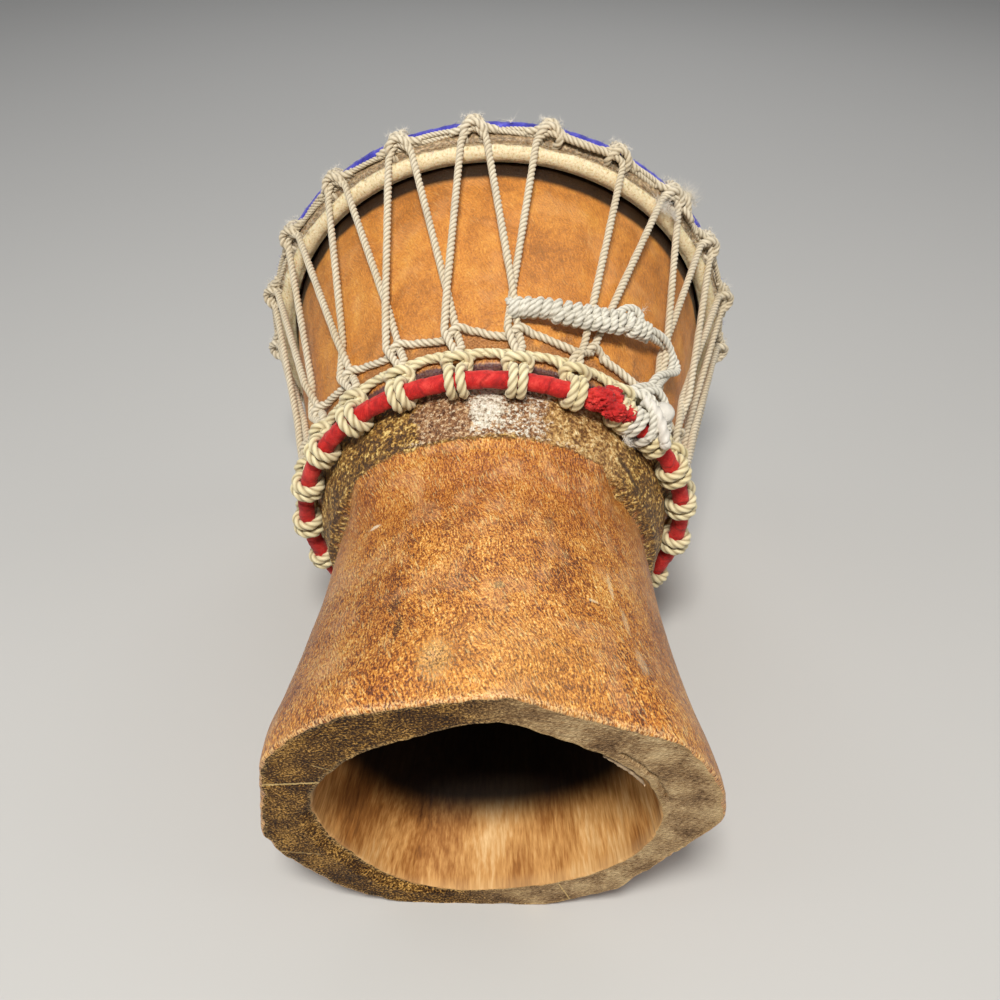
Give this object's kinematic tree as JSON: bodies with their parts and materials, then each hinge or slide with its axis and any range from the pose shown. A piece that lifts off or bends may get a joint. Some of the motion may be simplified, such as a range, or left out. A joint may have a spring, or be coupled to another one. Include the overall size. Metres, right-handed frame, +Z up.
{
  "type": "djembe",
  "caption": "Small carved wooden goblet drum lying on its side, goatskin head tensioned by twisted rope laced between a cloth-wrapped crown ring and a cloth-wrapped base ring.",
  "frame": {"origin": "middle of the underside as the drum lies on its side, on the surface it rests on", "axes": "+Z up from the surface; +Y horizontally from the foot end to the head end, the drum's axis rising 9.05 degrees from +Y; +X to the right seen from the foot end"},
  "size_m": [0.2679, 0.3411, 0.2634],
  "materials": {
    "carved_wood": "worn, waxed, with tool marks and scuffs",
    "goatskin": "rawhide, hair left in patches",
    "steel_rod": "plain rod, hidden",
    "blue_cloth": "wound cotton strip",
    "red_cloth": "wound cotton strip, slightly shiny",
    "lacing_rope": "three-strand twisted polyester",
    "cradle_rope": "three-strand rope, yellowed"
  },
  "bodies": {
    "root": {"shell": "carved_wood", "goatskin": "goatskin", "flesh_hoop": "steel_rod", "crown_hoop": "steel_rod", "base_ring": "steel_rod", "crown_cloth": "blue_cloth", "base_ring_cloth": "red_cloth", "cloth_bunch": "red_cloth", "crown_line": "lacing_rope", "base_line": "cradle_rope", "weave_row": "lacing_rope", "lacing": "lacing_rope", "tail_hank": "lacing_rope", "tail_run": "lacing_rope", "tail_knot": "lacing_rope", "crown_joint_knot": "lacing_rope", "crown_knot_01": "lacing_rope", "base_knot_01": "cradle_rope", "crown_knot_02": "lacing_rope", "base_knot_02": "cradle_rope", "crown_knot_03": "lacing_rope", "base_knot_03": "cradle_rope", "crown_knot_04": "lacing_rope", "base_knot_04": "cradle_rope", "crown_knot_05": "lacing_rope", "base_knot_05": "cradle_rope", "crown_knot_06": "lacing_rope", "base_knot_06": "cradle_rope", "crown_knot_07": "lacing_rope", "base_knot_07": "cradle_rope", "crown_knot_08": "lacing_rope", "base_knot_08": "cradle_rope", "crown_knot_09": "lacing_rope", "base_knot_09": "cradle_rope", "crown_knot_10": "lacing_rope", "base_knot_10": "cradle_rope", "crown_knot_11": "lacing_rope", "base_knot_11": "cradle_rope", "crown_knot_12": "lacing_rope", "base_knot_12": "cradle_rope", "crown_knot_13": "lacing_rope", "base_knot_13": "cradle_rope", "crown_knot_14": "lacing_rope", "base_knot_14": "cradle_rope", "crown_knot_15": "lacing_rope", "base_knot_15": "cradle_rope", "crown_knot_16": "lacing_rope", "base_knot_16": "cradle_rope", "crown_knot_17": "lacing_rope", "base_knot_17": "cradle_rope", "crown_knot_18": "lacing_rope", "base_knot_18": "cradle_rope", "crown_knot_19": "lacing_rope", "base_knot_19": "cradle_rope", "crown_knot_20": "lacing_rope", "base_knot_20": "cradle_rope", "crown_knot_21": "lacing_rope", "base_knot_21": "cradle_rope", "crown_knot_22": "lacing_rope", "base_knot_22": "cradle_rope"}
  },
  "joints": []
}
